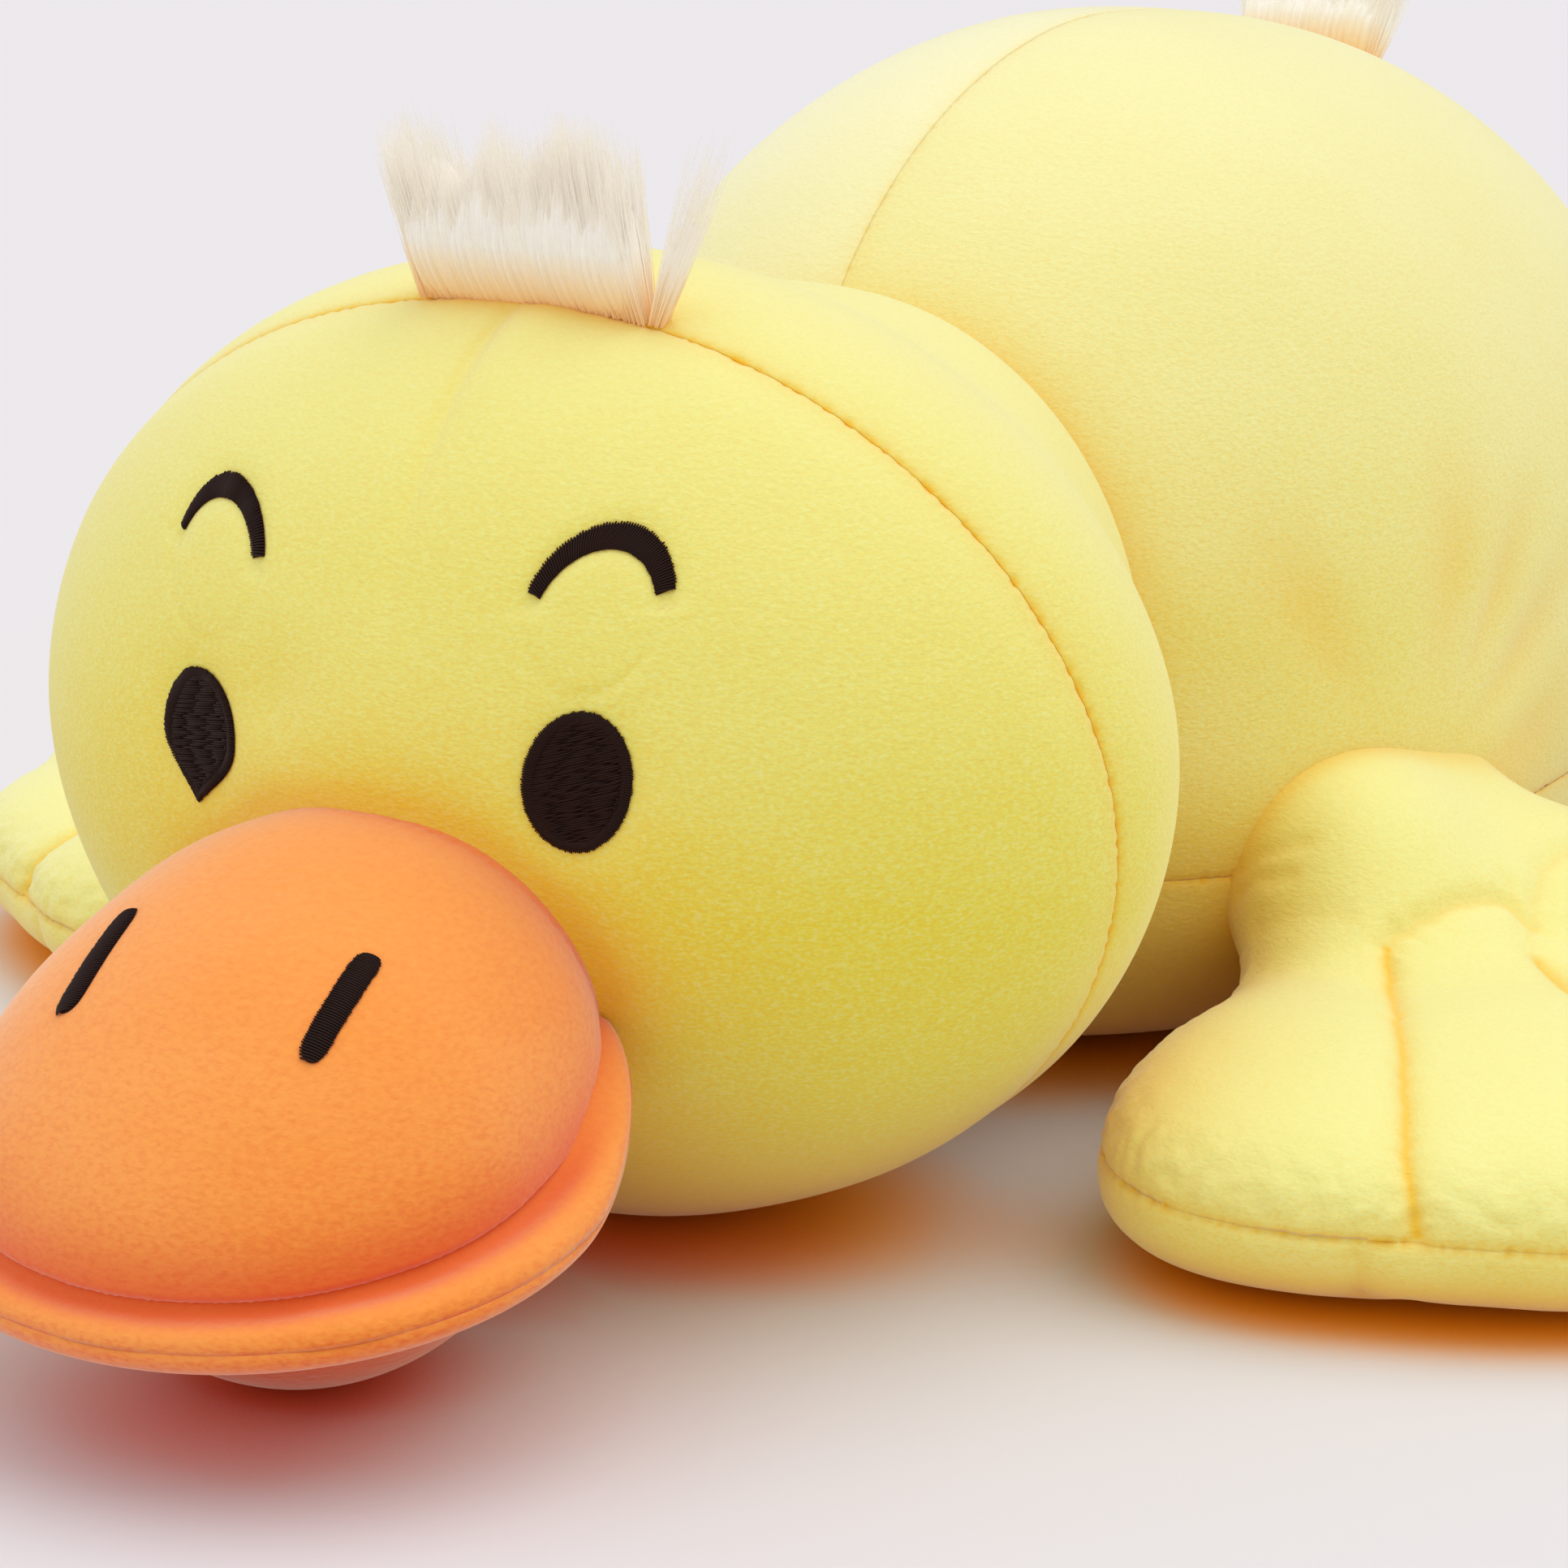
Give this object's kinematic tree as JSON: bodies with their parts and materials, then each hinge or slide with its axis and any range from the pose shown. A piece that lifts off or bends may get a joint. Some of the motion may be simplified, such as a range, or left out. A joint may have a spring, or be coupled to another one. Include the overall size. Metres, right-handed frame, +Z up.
{
  "type": "plush duck",
  "caption": "Soft stuffed duck lying on its belly, with a wide head, orange bill, lobed wings and webbed feet sewn to an egg-shaped body.",
  "frame": {"origin": "on the floor, in the middle of the flat where the belly rests", "axes": "+Z up, +Y towards the tail, -Y ahead, +X the duck's left"},
  "size_m": [0.3956, 0.4684, 0.1918],
  "materials": {
    "yellow_plush": "short-pile velvet plush",
    "pale_yellow_plush": "short-pile velvet plush",
    "orange_plush": "short-pile velvet plush",
    "cream_fur": "long-pile fur",
    "black_thread": "satin-stitched embroidery thread",
    "fibre_fill": "loose polyester fibre"
  },
  "bodies": {
    "torso": {"body_left_panel": "pale_yellow_plush", "body_right_panel": "pale_yellow_plush", "belly_panel": "pale_yellow_plush", "body_stuffing": "fibre_fill", "tail_tuft": "cream_fur"},
    "head": {"head_front_panel": "yellow_plush", "head_back_panel": "yellow_plush", "head_stuffing": "fibre_fill", "head_tuft": "cream_fur", "bill_top_panel": "orange_plush", "bill_lip_panel": "orange_plush", "bill_under_panel": "orange_plush", "bill_stuffing": "fibre_fill", "left_eye": "black_thread", "right_eye": "black_thread", "left_brow": "black_thread", "right_brow": "black_thread", "left_nostril": "black_thread", "right_nostril": "black_thread"},
    "left_wing": {"left_wing_top_panel": "yellow_plush", "left_wing_under_panel": "yellow_plush", "left_wing_stuffing": "fibre_fill"},
    "right_wing": {"right_wing_top_panel": "yellow_plush", "right_wing_under_panel": "yellow_plush", "right_wing_stuffing": "fibre_fill"},
    "left_foot": {"left_foot_top_panel": "orange_plush", "left_foot_sole_panel": "orange_plush", "left_foot_stuffing": "fibre_fill"},
    "right_foot": {"right_foot_top_panel": "orange_plush", "right_foot_sole_panel": "orange_plush", "right_foot_stuffing": "fibre_fill"}
  },
  "joints": [
    {"name": "head_lift", "type": "hinge", "parent": "torso", "child": "head", "pos_m": [0, -0.0913, 0.1355], "axis": [-0.9925, -0.1219, 0], "range_deg": [0, 14], "stiffness_Nm_per_rad": 0.3},
    {"name": "left_wing_lift", "type": "hinge", "parent": "torso", "child": "left_wing", "pos_m": [0.084, -0.039, 0.067], "axis": [0, -1, 0], "range_deg": [0, 50], "stiffness_Nm_per_rad": 0.03},
    {"name": "right_wing_lift", "type": "hinge", "parent": "torso", "child": "right_wing", "pos_m": [-0.084, -0.039, 0.067], "axis": [0, 1, 0], "range_deg": [0, 50], "stiffness_Nm_per_rad": 0.03},
    {"name": "left_foot_lift", "type": "hinge", "parent": "torso", "child": "left_foot", "pos_m": [0.064, 0.106, 0.038], "axis": [0.6947, -0.7193, 0], "range_deg": [0, 25], "stiffness_Nm_per_rad": 0.01},
    {"name": "right_foot_lift", "type": "hinge", "parent": "torso", "child": "right_foot", "pos_m": [-0.064, 0.106, 0.038], "axis": [0.6947, 0.7193, 0], "range_deg": [0, 25], "stiffness_Nm_per_rad": 0.01}
  ]
}
